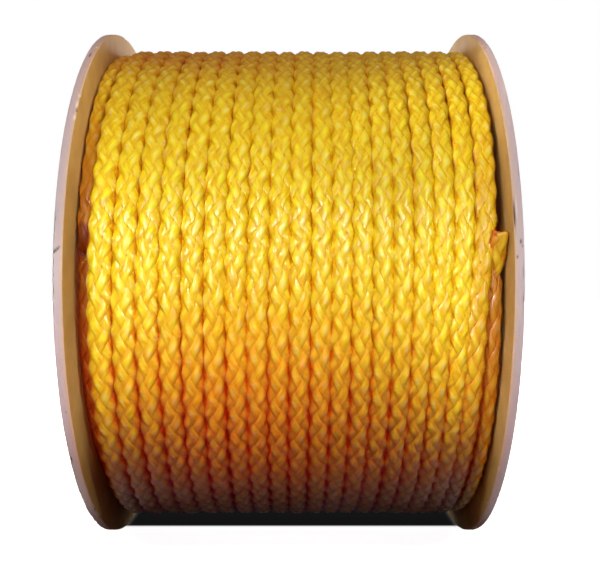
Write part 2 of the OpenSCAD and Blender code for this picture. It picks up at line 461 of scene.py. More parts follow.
@dataclass
class OuterLayer:
    """The outer layer of the winding, from its tucked tail to where its start dives in.

    Sizes are in metres. The line runs t loops from the tail's end, as it does in the frame. A span
    tells, in loops, where something starts, over how many it comes, where it ends and over how
    many it goes. Painted orange shade and painted deepest shade tell how far each covers the line
    where it sinks, where the tail shelters it, in the dive, along the tail and in the fray.
    """

    flange_r: float
    half_w: float
    turn_r: float = 92.35 * MM
    line_d: float = 5.9 * MM
    line_clear: float = 0.3 * MM
    least_pitch: float = 6.33 * MM
    pitch_spread: float = 1.14 * MM
    tail_tuck: float = 2.58 * MM
    tail_drop: float = 2.4 * MM
    tail_rise_loops: float = 0.45
    tail_angle: float = 5.0
    start_angle: float = 12.0
    start_sink: float = 2.0 * MM
    sink_loops: float = 0.55
    full_turns: int = 18
    steps_per_loop: int = 480
    squeeze: float = 0.62 * MM
    last_sink: float = 2.4 * MM
    last_sink_loops: float = 0.13
    fray_l: float = 12.0 * MM
    fray_lift: float = 6.6 * MM
    fray_shift: float = 0.6 * MM
    fray_curve: float = 1.2
    fray_wider: float = 0.06
    fray_flatter: float = 0.40
    pinch_l: float = 12.5 * MM
    pinch_half_l: float = 2.2 * MM
    pinch: float = 0.30
    turns_beside: int = 4
    nudge: float = 2.3 * MM
    nudge_kept: float = 0.5
    nudge_span: Span = (-0.025, 0.06, 0.41, 0.35)
    lean: float = 1.7 * MM
    lean_kept: float = 0.6
    lean_span: Span = (-0.55, 0.25, 0.02, 0.12)
    wander_x: float = 0.22 * MM
    wander_x_l: float = 55.0 * MM
    wander_r: float = 0.16 * MM
    wander_r_l: float = 38.0 * MM
    wander_span: Span = (0.2, 0.3, -0.6, 0.3)
    press_span: Span = (0.75, 0.2, -0.4, 0.3)
    shelter_span: Span = (0.9, 0.08, 1.4, 0.2)
    tail_l: float = 7.0 * MM
    tail_steps: int = 6
    tail_inward: float = 0.5 * MM
    tail_shade_l: float = 120.0 * MM
    bend_r: float = 8.85 * MM
    bend_steps: int = 15
    # Painted shade where the line sinks, beside the tail, in the dive, along the tail and in the fray: the
    # groove's orange first, then the deepest tone.
    rust: tuple[float, ...] = (0.7, 0.22, 0.9, 0.6, 0.22)
    shade: tuple[float, ...] = (0.22, 0.07, 0.6, 0.36, 0.10)

    def __post_init__(self) -> None:
        """Works out where the turns beside the flanges lie."""
        self.edge_x = self.half_w - self.line_d / 2 - self.line_clear
        self.last_turn_x = self.edge_x - self.least_pitch + self.tail_tuck
        self.front_t = self.tail_angle / 360
        self.dive_t = self.full_turns + 2 + (self.tail_angle - self.start_angle) / 360

    def helix_x(self, t: Array) -> Array:
        """Place along the axle line, if no flange were in the way."""
        turns = t - 1 - self.front_t
        spread = self.pitch_spread * turns ** 3 / (3 * self.full_turns ** 2)
        return self.last_turn_x - self.least_pitch * turns - spread

    def sinking(self, t: Array) -> Array:
        """How far the first turn has sunk, from 0 to 1."""
        return rise(t, self.dive_t - self.sink_loops, self.sink_loops)

    def amid(self, t: Array, span: Span) -> Array:
        """A span whose end counts from the dive."""
        start, coming, end, going = span
        return plateau(t, start, coming, self.dive_t + end, going)

    def centre(self, x: Array, radius: Array, angle: Array) -> Array:
        """Points at a place along the axle line, a radius and an angle above the front, in degrees."""
        turn = np.radians(angle)
        return np.stack([x, -radius * np.cos(turn), self.flange_r + radius * np.sin(turn)], axis=1)

    def half_pitch(self, t: Array) -> Array:
        """Half the distance from one turn to the next."""
        return (self.least_pitch + self.pitch_spread * ((t - 1) / self.full_turns) ** 2) / 2

    def wound(self, t: Array, metres: Array, last: Array) -> tuple[Array, Array]:
        """Where the wound line lies.

        Args:
            t: Loops from the tail's end.
            metres: Length of line from there.
            last: How far the line has dropped before its dive, from 0 to 1.

        Returns:
            Its place along the axle line, and its radius.
        """
        settle = max(0.0, float(self.helix_x(np.array([self.dive_t]))[0]) + self.edge_x)
        x = self.helix_x(t) - settle * self.sinking(t)
        beside = range(1, self.turns_beside + 1)
        # Over the top, the turns next to the tail lean towards the flange, each less than the one before.
        for loop in beside:
            x = x + self.lean * self.lean_kept ** (loop - 1) * plateau(t - loop, *self.lean_span)
        x = np.clip(x, -self.edge_x, self.edge_x)
        climb = self.tail_drop * (1 - ease(t / self.tail_rise_loops))
        radius = self.turn_r - climb - self.start_sink * self.sinking(t) - self.last_sink * last
        # Away from both ends the turns wander a little.
        free = self.amid(t, self.wander_span)
        x = x + free * self.wander_x * drift(metres, self.wander_x_l, 11)
        radius = radius + free * self.wander_r * drift(metres, self.wander_r_l, 12)
        # From the tail's end on, the same turns are pushed back, for about a third of a turn.
        for loop in beside:
            x = x - self.nudge * self.nudge_kept ** (loop - 1) * plateau(t - loop, *self.nudge_span)
        return x, radius

    def points(self) -> tuple[Array, dict[str, Array]]:
        """The whole centre line as a fine row of points, and the fields of a route at each."""
        t = np.linspace(0.0, self.dive_t, int(self.dive_t * self.steps_per_loop))
        metres = t * 2 * math.pi * self.turn_r
        last = rise(t, self.dive_t - self.last_sink_loops, self.last_sink_loops)
        wound = self.centre(*self.wound(t, metres, last), self.tail_angle - 360 * t)
        back = (wound[0] - wound[1]) / np.linalg.norm(wound[1] - wound[0])
        ends = np.linspace(0.0, self.tail_l, self.tail_steps + 1)[:-1]
        dive = self.dive_points()
        line = np.concatenate([wound[0] + (self.tail_l - ends)[:, None] * back, wound, dive])

        def joined(end: float | Array, middle: Array, start: float) -> Array:
            """Values for the tail's end, the wound line and the dive."""
            return np.concatenate([np.full(len(ends), end), middle, np.full(len(dive), start)])

        gone = joined(ends, self.tail_l + metres, math.inf)
        loose = np.clip(1 - gone / self.fray_l, 0, 1)
        base = math.radians(self.tail_angle)
        lift = self.fray_lift * np.array([0.0, -math.cos(base), math.sin(base)])
        line = line + (loose ** self.fray_curve)[:, None] * (lift + np.array([self.fray_shift, 0.0, 0.0]))
        # Turns pressed by both neighbours fill the pitch, the others stay as wide as they are deep.
        round_w = self.line_d / 2
        held = round_w + (self.half_pitch(t) + self.squeeze - round_w) * self.amid(t, self.press_span)
        pinch = self.pinch * np.exp(-((gone - self.pinch_l) / self.pinch_half_l) ** 2)
        tail = ease(1 - (gone - self.pinch_l) / self.tail_shade_l) * (loose == 0)
        line[:, 0] -= self.tail_inward * tail
        edge = plateau(t, *self.shelter_span)
        # Painted shade: how far the groove's orange and the deepest tone cover the line here.
        painted_shades = {
            label: joined(0.0, sunk * last + sheltered * edge, dived) + tucked * tail + frayed * (loose > 0)
            for label, (sunk, sheltered, dived, tucked, frayed) in (
                ("rust", self.rust), ("shade", self.shade))}
        return line, {
            "room": joined(held[0], held, round_w) * (1 - pinch + self.fray_wider * loose),
            "flat": 1 - pinch - self.fray_flatter * loose, **painted_shades}

    def dive_points(self) -> Array:
        """The start's bend down through the inner layers."""
        dive_r, bend_r = self.turn_r - self.start_sink - self.last_sink, self.bend_r
        lean = math.asin(bend_r / (dive_r - bend_r))
        foot_r = math.sqrt((dive_r - bend_r) ** 2 - bend_r ** 2)
        turn = np.linspace(0.0, math.pi / 2 + lean, self.bend_steps + 1)[1:]
        base = math.radians(self.start_angle)
        out = np.array([0.0, -math.cos(base), math.sin(base)])
        on = np.array([0.0, -math.sin(base), -math.cos(base)])
        middle = np.array([-self.edge_x, 0.0, self.flange_r])
        bend = middle + (dive_r - bend_r + bend_r * np.cos(turn))[:, None] * out + (
            bend_r * np.sin(turn)[:, None] * on)
        foot = self.centre(np.array([-self.edge_x]), np.array([foot_r - self.line_d]),
                           np.array([self.start_angle - math.degrees(lean)]))
        return np.concatenate([bend, foot])


@dataclass
class UnderLayer:
    """The layer below, whose turns lie in the grooves of the outer one. Sizes are in metres."""

    above: OuterLayer
    drop: float = 5.5 * MM
    edge_clear: float = 6.6 * MM
    first_loop: float = 0.95
    loops_after: float = 0.9
    steps_per_loop: int = 240
    shade: float = 0.1

    def points(self) -> tuple[Array, dict[str, Array]]:
        """The centre line of the turns that show between those of the outer layer, and its fields."""
        above = self.above
        t = np.linspace(self.first_loop, above.full_turns + self.loops_after,
                        (above.full_turns + 1) * self.steps_per_loop)
        x = above.helix_x(t) + above.least_pitch / 2
        keep = abs(x) < above.half_w - self.edge_clear - above.line_d / 2
        t, x = t[keep], x[keep]
        full = np.ones(len(t))
        # Painted shade: the layer below takes the groove's orange in full and a little of the deepest tone.
        return above.centre(x, (above.turn_r - self.drop) * full, above.tail_angle - 360 * t), {
            "room": above.half_pitch(t) + above.squeeze, "flat": full, "rust": full,
            "shade": self.shade * full}


@dataclass
class EndTurn:
    """A turn of the layer below that shows beside a flange. Sizes are in metres."""

    above: OuterLayer
    x: float
    radius: float
    first_angle: float
    last_angle: float
    # Painted shade: the turn takes most of the groove's orange and some of the deepest tone.
    shade: float
    rust: float = 0.85
    steps: int = 240

    def points(self) -> tuple[Array, dict[str, Array]]:
        """The centre line of the turn, and its fields."""
        angle = np.linspace(self.first_angle, self.last_angle, self.steps)
        full = np.ones(self.steps)
        return self.above.centre(self.x * full, self.radius * full, angle), {
            "room": self.above.line_d / 2 * full, "flat": full, "rust": self.rust * full,
            "shade": self.shade * full}


class Lean(Enum):
    """Which way a strand winds round the line."""

    RIGHT_HAND = 1
    LEFT_HAND = -1


@dataclass
class Braid:
    """Hollow braid of eight strands, each over one and under one, pressed squarish by the winding.

    Sizes are in metres. A span tells where painted shade starts and over how far it comes: by how
    much the line's outward side faces down, up or to the front, how far left it lies, or, in a groove,
    by the degrees round the line.
    """

    half_deep: float = 3.02 * MM
    squareness: float = 2.5
    mean_r: float = 2.14 * MM
    sway: float = 0.39 * MM
    lay: float = 37.0 * MM
    strand_w: float = 3.65 * MM
    strand_t: float = 1.02 * MM
    crown_slant: float = math.radians(3.4)
    crown_curve: float = 0.6
    belly: tuple[Span, ...] = ((0.3, -0.32), (0.0, -0.5), (-0.3, -0.32))
    strands_each_way: int = 4
    tape_groove: float = 0.05 * MM
    tape_reach: float = 0.4
    valley_depth: float = 1.0 * MM
    crown_points: int = 7
    stations_per_row: int = 7
    roll: float = math.radians(-22.5)
    roll_drift: float = math.radians(7.0)
    bake_columns: int = 38
    bake_fill: float = 0.98
    waver: float = 2.5 * MM
    waver_l: float = 90.0 * MM
    roll_l: float = 160.0 * MM
    least_crown_points: int = 7
    # Painted shade: the groove's orange on the turns' sides, in the underside's valleys and on the top left
    # front; the deepest tone towards the bottom.
    groove_shade: float = 0.85
    groove_span: Span = (50.0, 52.0)
    groove_span_under: Span = (32.0, 36.0)
    under_shade: float = 0.4
    under_span: Span = (-0.05, 0.55)
    under_curve: float = 1.5
    top_shade: float = 0.42
    top_span: Span = (0.72, 0.18)
    front_span: Span = (0.05, 0.35)
    left_span: Span = (-30.0 * MM, 70.0 * MM)
    bottom_shade: float = 0.6
    bottom_span: Span = (0.66, 0.22)

    @property
    def step(self) -> float:
        """Distance between the stations that a strand is drawn at."""
        return self.lay / self.strands_each_way / self.stations_per_row

    def number(self, index: int, lean: Lean) -> int:
        """Counts a strand among all eight."""
        return index + (self.strands_each_way if lean is Lean.LEFT_HAND else 0)

    def section(self) -> tuple[Array, Array]:
        """The strand's section: places across it and heights above its middle, all the way round."""
        crown = np.linspace(-0.5, 0.5, self.crown_points)
        top = self.strand_t / 2 * (1 - (2 * crown) ** 2) ** self.crown_curve
        if self.crown_points >= self.least_crown_points:
            grooved = (np.arange(self.crown_points) % 2 == 0) & (abs(crown) < self.tape_reach)
            top = top - self.tape_groove * grooved
        across, height = np.array(self.belly).T
        return (np.concatenate([crown, across]) * self.strand_w,
                np.concatenate([top, height * self.strand_t]))

    def pressed(self, angle: Array, half_wide: Array) -> Array:
        """How much further out than round the line reaches at each angle from outwards."""
        power = self.squareness
        flat = (abs(np.sin(angle)) / half_wide) ** power + (abs(np.cos(angle)) / self.half_deep) ** power
        return flat ** (-1 / power) / (self.mean_r + self.sway + self.strand_t / 2)

    def strand(self, name: str, route: Route, index: int, lean: Lean, trim: int) -> Object:
        """Makes one closed strand along a route.

        Args:
            name: Name of the piece.
            route: The line's centre line, at this braid's step.
            index: Which of the strands that wind this way it is.
            lean: Which way it winds.
            trim: How many stations its cut end stops short of the line's.

        Returns:
            The strand.
        """
        hand = lean.value
        across, height = self.section()
        slant = math.atan(2 * math.pi * self.mean_r / self.lay)
        s = route.along[:, None]
        waver = self.waver * drift(route.along, self.waver_l, 21)[:, None]
        shift = -hand * across[None] * math.sin(slant)
        place = s + waver + shift
        turn = 2 * math.pi / self.lay
        row = self.strands_each_way * turn
        angle = (hand * turn * (s + waver) + 2 * math.pi * index / self.strands_each_way
                 + across[None] * math.cos(slant) / self.mean_r
                 + self.crown_slant * np.sin(row * (s + waver)))
        weave = (np.cos(self.strands_each_way * angle) + np.cos(row * place)) / 2
        radius = self.mean_r + hand * self.sway * weave + height[None]
        depth = self.mean_r + self.sway + self.strand_t / 2 - radius
        rolled = angle + self.roll + self.roll_drift * drift(route.along, self.roll_l, 22)[:, None]
        radius = radius * self.pressed(rolled, route.fields["room"][:, None])
        points = (route.points[:, None] + shift[..., None] * route.onward[:, None]
                  + (radius * np.cos(rolled) * route.fields["flat"][:, None])[..., None]
                  * route.outward[:, None]
                  + (radius * np.sin(rolled))[..., None] * route.aside[:, None])
        turned = np.degrees(abs((rolled + math.pi) % (2 * math.pi) - math.pi))
        # Painted shade between strands: the deeper a point lies under the crests, the more of the valley
        # tone it takes.
        valley_shade = np.clip(depth / self.valley_depth, 0, 1)
        groove, shade = self.painted_shades(route, turned, valley_shade)
        return self.ribbon(name, points, {
            "across": np.broadcast_to(across, points.shape[:2]),
            "along": np.broadcast_to(s, points.shape[:2]),
            "strand": np.full(points.shape[:2], float(self.number(index, lean))),
            "valley_shade": valley_shade, "groove": groove, "crest": hand * weave, "shade": shade}, trim)

    def painted_shades(self, route: Route, turned: Array, valley_shade: Array) -> tuple[Array, Array]:
        """Paints shade into the grooves between turns, more on the underside, and on the top left front.

        Args:
            route: The line's centre line.
            turned: How far each point lies round the line from outwards, in degrees.
            valley_shade: How deep it lies between strands, from 0 to 1.

        Returns:
            How far the painted shade of the groove's tone and of the deepest tone covers each point, from 0
            to 1.
        """
        up, front = route.outward[:, 2:], -route.outward[:, 1:2]
        under = rise(-up, *self.under_span)
        over = (rise(up, *self.top_span) * rise(front, *self.front_span)
                * rise(-route.points[:, :1], *self.left_span))
        start, width = (above + (below - above) * under for above, below in zip(
            self.groove_span, self.groove_span_under, strict=True))
        groove = (self.groove_shade * ease((turned - start) / width)
                  + self.under_shade * under * valley_shade ** self.under_curve + self.top_shade * over
                  + route.fields["rust"][:, None])
        shade = route.fields["shade"][:, None] + self.bottom_shade * rise(-up, *self.bottom_span)
        return np.clip(groove, 0, 1), np.broadcast_to(np.clip(shade, 0, 1), turned.shape)

    def ribbon(self, name: str, points: Array, fields: dict[str, Array], trim: int) -> Object:
        """Closes rings of points into one long closed mesh.

        Args:
            name: Name of the piece.
            points: Rings of points, in metres.
            fields: Values for each point that the material reads.
            trim: How many of the first rings are left out.

        Returns:
            The piece.
        """
        points = points[trim:]
        fields = {label: values[trim:] for label, values in fields.items()}
        rings, sides = points.shape[:2]
        ring, side = np.meshgrid(np.arange(rings - 1), np.arange(sides), indexing="ij")
        walls = skin(rings, sides, False, True)
        first = np.arange(sides)[::-1][None]
        last = (rings - 1) * sides + np.arange(sides)[None]
        rows = math.ceil((rings - 1) / self.bake_columns)
        column, row = ring // rows, ring % rows
        left, right = ((column + self.bake_fill * place / sides) / self.bake_columns
                       for place in (side, side + 1))
        low, high = row / rows, (row + 1) / rows
        corners = np.stack([left, low, right, low, right, high, left, high], axis=-1).reshape(-1, 2)
        ends = np.zeros((2 * sides, 2))
        return mesh_piece(
            name, points.reshape(-1, 3), [walls, first, last],
            {label: values.ravel() for label, values in fields.items()},
            np.concatenate([corners, ends]))


@dataclass
class Winding:
    """All the line on the reel: the braided outer layer, the layer under it and the core of the rest."""

    flange_r: float
    half_w: float
    finish: BraidedPolypropylene = BraidedPolypropylene()
    ring_top: float = 86.4 * MM
    ring_left: float = 86.0 * MM
    ring_right: float = 83.5 * MM
    ring_bore: float = 41.0 * MM
    ring_groove: float = 6.5 * MM
    ring_clear: float = 0.05 * MM
    ring_shade: float = 0.7
    ring_around: int = 192
    low_turn_r: float = 85.0 * MM
    low_turn_shade: float = 0.22
    low_turn_ends: tuple[float, float] = (-7.0, -313.0)

    def build(self) -> None:
        """Builds the strands of both layers and the ring of line below them."""
        paint = self.finish.material()
        outer = OuterLayer(self.flange_r, self.half_w)
        braid = Braid()
        under = Braid(crown_points=4, stations_per_row=6)
        first, last = (outer.start_angle + end for end in self.low_turn_ends)
        low_turn = EndTurn(outer, -outer.edge_x, self.low_turn_r, first, last, self.low_turn_shade)
        for label, layer, weave, node, ragged in (
            ("outer", outer, braid, "line_outer_layer", (0, 1, 2, 0, 1, 0, 2, 1)),
            ("under", UnderLayer(outer), under, "line_inner_layers", (0,) * 8),
            ("low_turn", low_turn, under, "line_inner_layers", (0,) * 8),
        ):
            route = Route.evenly(*layer.points(), weave.step)
            for lean in Lean:
                for index in range(weave.strands_each_way):
                    name = f"{label}_strand_{lean.name.lower()}_{index + 1}"
                    trim = ragged[weave.number(index, lean)]
                    piece = weave.strand(name, route, index, lean, trim)
                    piece.data.materials.append(paint)
                    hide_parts(node)
            log.info("%s layer: %.2f m of line", label, route.along[-1])
        self.ring(paint)

    def ring(self, paint: Material) -> None:
        """Builds the lower layers as one ring, lower beside each flange."""
        w, groove = self.half_w - self.ring_clear, self.ring_groove
        x = np.array([-w, -w, groove - w, groove - w, w - groove, w - groove, w, w])
        radius = np.array([self.ring_bore, self.ring_left, self.ring_left, self.ring_top,
                           self.ring_top, self.ring_right, self.ring_right, self.ring_bore])
        angle = np.linspace(0, 2 * math.pi, self.ring_around, endpoint=False)[:, None]
        points = np.stack([
            np.broadcast_to(x, (self.ring_around, len(x))), -radius * np.cos(angle),
            self.flange_r + radius * np.sin(angle)], axis=-1).reshape(-1, 3)
        walls = skin(self.ring_around, len(x), True, True)
        # Painted shade: the ring takes the valley and groove tones in full and most of the deepest tone.
        piece = mesh_piece("inner_ring", points, [walls], {
            label: np.full(len(points), value) for label, value in (
                ("across", 0.0), ("along", 0.0), ("strand", 0.0), ("crest", 0.0), ("valley_shade", 1.0),
                ("groove", 1.0), ("shade", self.ring_shade))})
        piece.data.polygons.foreach_set("use_smooth", np.zeros(len(walls), bool))
        piece.data.materials.append(paint)
        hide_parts("line_inner_layers")
        log.info("%s: %d faces", piece.name, len(walls))


# ---------- the flanges ----------


class Side(Enum):
    """Which end of the axle line a part stands at."""

    LEFT = -1
    RIGHT = 1


@dataclass(frozen=True)
class Chip:
    """A dent, chip or crack in the sawn rim.

    Its place is an angle above the front in degrees and a depth from the inner face in millimetres;
    arc, across and cut are its half length, half width and depth in millimetres. A chip darkens the
    rim from 0 to 1, or shows fresh pale fibre from 0 to 1.
    """

    angle: float
    depth: float
    arc: float
    across: float
    cut: float
    darkening: float = 0.0
    fresh: float = 0.0


# For each side, the values of its chips at the front, in the order of Chip.
WEAR = {
    Side.LEFT: (
        (4.9, 2.8, 0.5, 0.5, 0.5, 1.0), (5.1, 2.2, 0.4, 0.5, 0.4, 0.9), (5.4, 1.6, 0.4, 0.5, 0.4, 0.8),
        (5.7, 1.1, 0.4, 0.4, 0.3, 0.6), (10.6, 3.0, 0.9, 0.35, 0.7, 1.0),
        (8.9, 3.0, 1.3, 0.3, 0.6, 0.9), (7.2, 3.0, 0.6, 0.3, 0.4, 0.6), (3.2, 3.0, 1.2, 0.3, 0.6, 0.9),
        (0.9, 3.0, 0.8, 0.35, 0.5, 0.8), (-1.6, 3.0, 1.4, 0.3, 0.6, 0.9),
        (-4.6, 3.0, 0.7, 0.3, 0.5, 0.7), (-6.6, 3.0, 1.0, 0.25, 0.4, 0.6),
        (37.0, 0.3, 0.9, 0.35, 0.5, 0.0, 1.0), (34.6, 0.5, 1.4, 0.4, 0.6, 0.0, 1.0),
        (33.0, 0.2, 0.9, 0.3, 0.5, 0.7), (31.2, 0.4, 1.1, 0.4, 0.5, 0.0, 0.9),
        (56.0, 0.6, 1.0, 0.6, 0.5, 0.0, 1.0), (51.5, 1.7, 1.7, 0.3, 0.5, 0.8),
        (-35.0, 2.8, 1.6, 0.5, 1.0, 1.0), (-31.0, 2.9, 2.4, 0.3, 0.7, 0.6),
        (-39.0, 2.9, 2.0, 0.3, 0.8, 0.6), (-24.0, 1.4, 0.5, 0.3, 0.2, 0.5)),
    Side.RIGHT: (
        (11.4, 0.45, 4.6, 0.28, 0.9, 1.0), (12.6, 1.0, 3.4, 0.2, 0.1, 0.0, 0.7),
        (6.7, 2.0, 0.7, 0.3, 0.4, 0.9), (5.9, 2.4, 0.4, 0.25, 0.3, 0.6),
        (4.0, 0.8, 0.5, 0.3, 0.4, 0.8), (1.4, 2.9, 2.6, 0.45, 0.6, 0.3),
        (-3.2, 2.9, 1.4, 0.4, 0.5, 0.5), (19.5, 2.9, 2.2, 0.3, 0.4, 0.3),
        (57.0, 0.9, 1.2, 0.5, 0.4, 0.0, 1.0), (54.5, 1.6, 0.8, 0.4, 0.3, 0.0, 0.9),
        (-22.0, 2.9, 1.4, 0.3, 0.5, 0.5), (-37.5, 0.3, 1.1, 0.3, 0.4, 0.0, 0.6)),
}


@dataclass
class Flange:
    """A round hardboard disc with its holes and a worn sawn rim.

    Sizes are in metres. Its broken fibres are 40 to a radian of the rim, about 2.5 mm long each.
    """

    side: Side
    radius: float
    inner_x: float
    thickness: float
    finish: Hardboard
    web_r: float = 60.0 * MM
    face_mm: tuple[float, ...] = (0.0, 12.0, 22.0, 28.0, 32.0, 35.0, 37.0, 38.5, 39.6, 40.4, 41.0)
    bevel: float = 0.3 * MM
    bevel_step: float = 0.1 * MM
    around: int = 1440
    rim_rows: int = 12
    fibres_per_radian: float = 40.0
    fibre_w: float = MM / 1.3
    ragged: float = 0.10 * MM
    ragged_fine: float = 0.05 * MM
    rim_band: float = 0.5 * MM
    arbor_r: float = 9.55 * MM
    bolt_circle_r: float = 27.0 * MM
    bolt_r: float = 2.7 * MM
    bolts: int = 3
    start_r: float = 4.0 * MM
    start_y: float = 45.3 * MM
    hole_points: int = 96
    stray_chips: int = 46

    def chips(self) -> list[Chip]:
        """The wear at the front and, seeded, the small chips round the rest of the rim."""
        found = [Chip(*row) for row in WEAR[self.side]]
        rng = np.random.default_rng(5 + self.side.value)
        for angle in rng.uniform(62, 318, self.stray_chips):
            edge = rng.choice([0.15, self.thickness / MM - 0.15])
            dark = rng.uniform(0, 1)
            found.append(Chip(angle, edge, rng.uniform(0.4, 1.8), rng.uniform(0.2, 0.4),
                              rng.uniform(0.2, 0.7), darkening=dark, fresh=1 - dark))
        return found

    def holes(self) -> list[tuple[float, float, float]]:
        """Each hole's centre, as across and up from the axle line, and its radius."""
        found = [(0.0, 0.0, self.arbor_r)]
        for i in range(self.bolts):
            turn = 2 * math.pi * i / self.bolts
            found.append((self.bolt_circle_r * math.sin(turn), self.bolt_circle_r * math.cos(turn),
                          self.bolt_r))
        if self.side is Side.LEFT:
            found.append((self.start_y, 0.0, self.start_r))
        return found

    def profile(self) -> Array:
        """Depth into the board and radius of each row from the inner face round the rim to the outer."""
        reach, deep, step = self.radius, self.thickness, self.bevel_step
        inner = [(0.0, self.web_r + mm * MM) for mm in self.face_mm]
        rim = [(0.0, reach - self.bevel), (step, reach - step)]
        rim += [(d, reach) for d in np.linspace(self.bevel, deep - self.bevel, self.rim_rows)]
        rim += [(deep - step, reach - step), (deep, reach - self.bevel)]
        return np.array(inner + rim + [(deep, r) for _, r in inner[::-1]])

    def web(self, circle: Array) -> tuple[Array, Array, list[Array]]:
        """Triangles of the middle of the disc, around its holes.

        Args:
            circle: The points on the web's outer edge, across and up from the axle line.

        Returns:
            The points, the triangles, and for each hole the places of its edge points.
        """
        coords = [tuple(p) for p in circle]
        edges = [(i, (i + 1) % len(circle)) for i in range(len(circle))]
        loops = []
        count = self.hole_points
        turn = np.linspace(0, 2 * math.pi, count, endpoint=False)
        for cx, cz, r in self.holes():
            start = len(coords)
            coords += [(cx + r * math.cos(a), cz + r * math.sin(a)) for a in turn]
            edges += [(start + i, start + (i + 1) % count) for i in range(count)]
            loops.append(np.arange(start, start + count))
        found = delaunay_2d_cdt([Vector(c) for c in coords], edges, [], 0, 1e-9)
        points = np.array([tuple(v) for v in found[0]])
        triangles = np.array(found[2])
        middle = points[triangles].mean(axis=1)
        keep = np.ones(len(triangles), bool)
        for cx, cz, r in self.holes():
            keep &= np.hypot(middle[:, 0] - cx, middle[:, 1] - cz) > r * 0.999
        return points, triangles[keep], loops

    def build(self) -> None:
        """Builds the disc: a skin over its rim and outer faces, its two webs and the holes' walls."""
        profile = self.profile()
        rows, sign = len(profile), self.side.value
        turn = np.linspace(0, 2 * math.pi, self.around, endpoint=False)
        out = np.stack([-np.cos(turn), np.sin(turn)], axis=1)
        depth, radius = (np.tile(profile[:, k], (self.around, 1)) for k in (0, 1))
        darkening, fresh = self.wear(turn, radius, depth)
        ring = np.stack([sign * (self.inner_x + depth), out[:, :1] * radius,
                         self.radius + out[:, 1:] * radius], axis=-1).reshape(-1, 3)
        quads = skin(self.around, rows, True, False)
        row = np.tile(np.arange(rows - 1), self.around)
        face_rows = len(self.face_mm)
        web, triangles, loops = self.web(out * self.web_r)
        count = len(web)
        front = np.stack([np.full(count, sign * self.inner_x), web[:, 0], self.radius + web[:, 1]], axis=1)
        points = np.concatenate([ring, front, front + np.array([sign * self.thickness, 0, 0])])
        front_at = len(ring) + np.arange(count)
        back_at = front_at + count
        front_at[:self.around] = np.arange(self.around) * rows
        back_at[:self.around] = front_at[:self.around] + rows - 1
        walls = [np.stack([front_at[loop], front_at[after], back_at[after], back_at[loop]], axis=1)
                 for loop, after in ((loop, np.roll(loop, -1)) for loop in loops)]
        faces = [quads, np.concatenate(walls), front_at[triangles], back_at[triangles][:, ::-1]]
        used = np.unique(np.concatenate([block.ravel() for block in faces]))
        renumber = np.full(len(points), -1)
        renumber[used] = np.arange(len(used))
        spots = {label: np.concatenate([values.ravel(), np.zeros(2 * count)])[used]
                 for label, values in (("darkening", darkening), ("fresh", fresh))}
        name = f"{self.side.name.lower()}_flange"
        piece = mesh_piece(f"{name}_board", points[used], [renumber[block] for block in faces], {
            "depth": ((points[:, 0] * sign - self.inner_x) / self.thickness)[used], **spots})
        piece.data.materials.append(self.finish.face_material())
        piece.data.materials.append(self.finish.rim_material())
        slots = np.zeros(len(piece.data.polygons), np.int32)
        slots[:len(quads)] = (row >= face_rows) & (row < rows - 1 - face_rows)
        piece.data.polygons.foreach_set("material_index", slots)
        recalc_normals(piece)
        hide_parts(name)
        log.info("%s: %d faces", piece.name, len(piece.data.polygons))

    def wear(self, turn: Array, radius: Array, depth: Array) -> tuple[Array, Array]:
        """Roughens the rim in place: broken fibres, dents and chips.

        Args:
            turn: Angle of each column, in radians above the front.
            radius: Radius of each point, which changes.
            depth: Depth of each point into the board.

        Returns:
            How much darker each point is, and how fresh its broken fibre.
        """
        rim = radius > self.radius - self.rim_band
        for column, row in zip(*np.nonzero(rim), strict=True):
            at = Vector((math.cos(turn[column]) * self.fibres_per_radian,
                         math.sin(turn[column]) * self.fibres_per_radian,
                         depth[column, row] / self.fibre_w + 9 * self.side.value))
            radius[column, row] -= (self.ragged * (1 + noise.noise(at))
                                    + self.ragged_fine * noise.noise(at * 3))
        darkening, fresh = np.zeros_like(radius), np.zeros_like(radius)
        for chip in self.chips():
            off = (np.degrees(turn) - chip.angle + 180) % 360 - 180
            away = (np.radians(off)[:, None] * self.radius / (chip.arc * MM)) ** 2 + (
                (depth - chip.depth * MM) / (chip.across * MM)) ** 2
            share = np.exp(-away ** 1.5) * rim
            radius -= chip.cut * MM * share
            darkening = np.maximum(darkening, chip.darkening * share)
            fresh = np.maximum(fresh, chip.fresh * share)
        return darkening, fresh


def recalc_normals(piece: Object) -> None:
    """Turns every face of a closed piece outwards."""
    shell = bmesh.new()
    shell.from_mesh(piece.data)
    bmesh.ops.recalc_face_normals(shell, faces=shell.faces)
    shell.to_mesh(piece.data)
    shell.free()


# ---------- studio ----------


@dataclass(frozen=True)
class Lamp:
    """A soft box: where it stands, the point that it faces and its width and height, in metres.

    Its power is in watts, and spread is how wide its grid lets the light out, in degrees.
    """

    name: str
    place: tuple[float, float, float]
    aim: tuple[float, float, float]
    size: tuple[float, float]
    power: float
    colour: str = "#FFFFFF"
    spread: float = 180.0


def lamp_pair(name: str, left_power: float, right_power: float, place: tuple, aim: tuple, size: tuple,
              spread: float = 180.0) -> tuple[Lamp, Lamp]:
    """Two lamps that mirror each other.

    Args:
        name: What their names end with, after the side that each lights.
        left_power: Power of the left one, in watts.
        right_power: Power of the right one, in watts.
        place: Where the left one stands.
        aim: The point that the left one faces.
        size: Width and height of both.
        spread: How wide both let the light out, in degrees.

    Returns:
        The left lamp and the right one.
    """
    return (Lamp(f"left_{name}", place, aim, size, left_power, spread=spread),
            Lamp(f"right_{name}", (-place[0], *place[1:]), (-aim[0], *aim[1:]), size, right_power,
                 spread=spread))


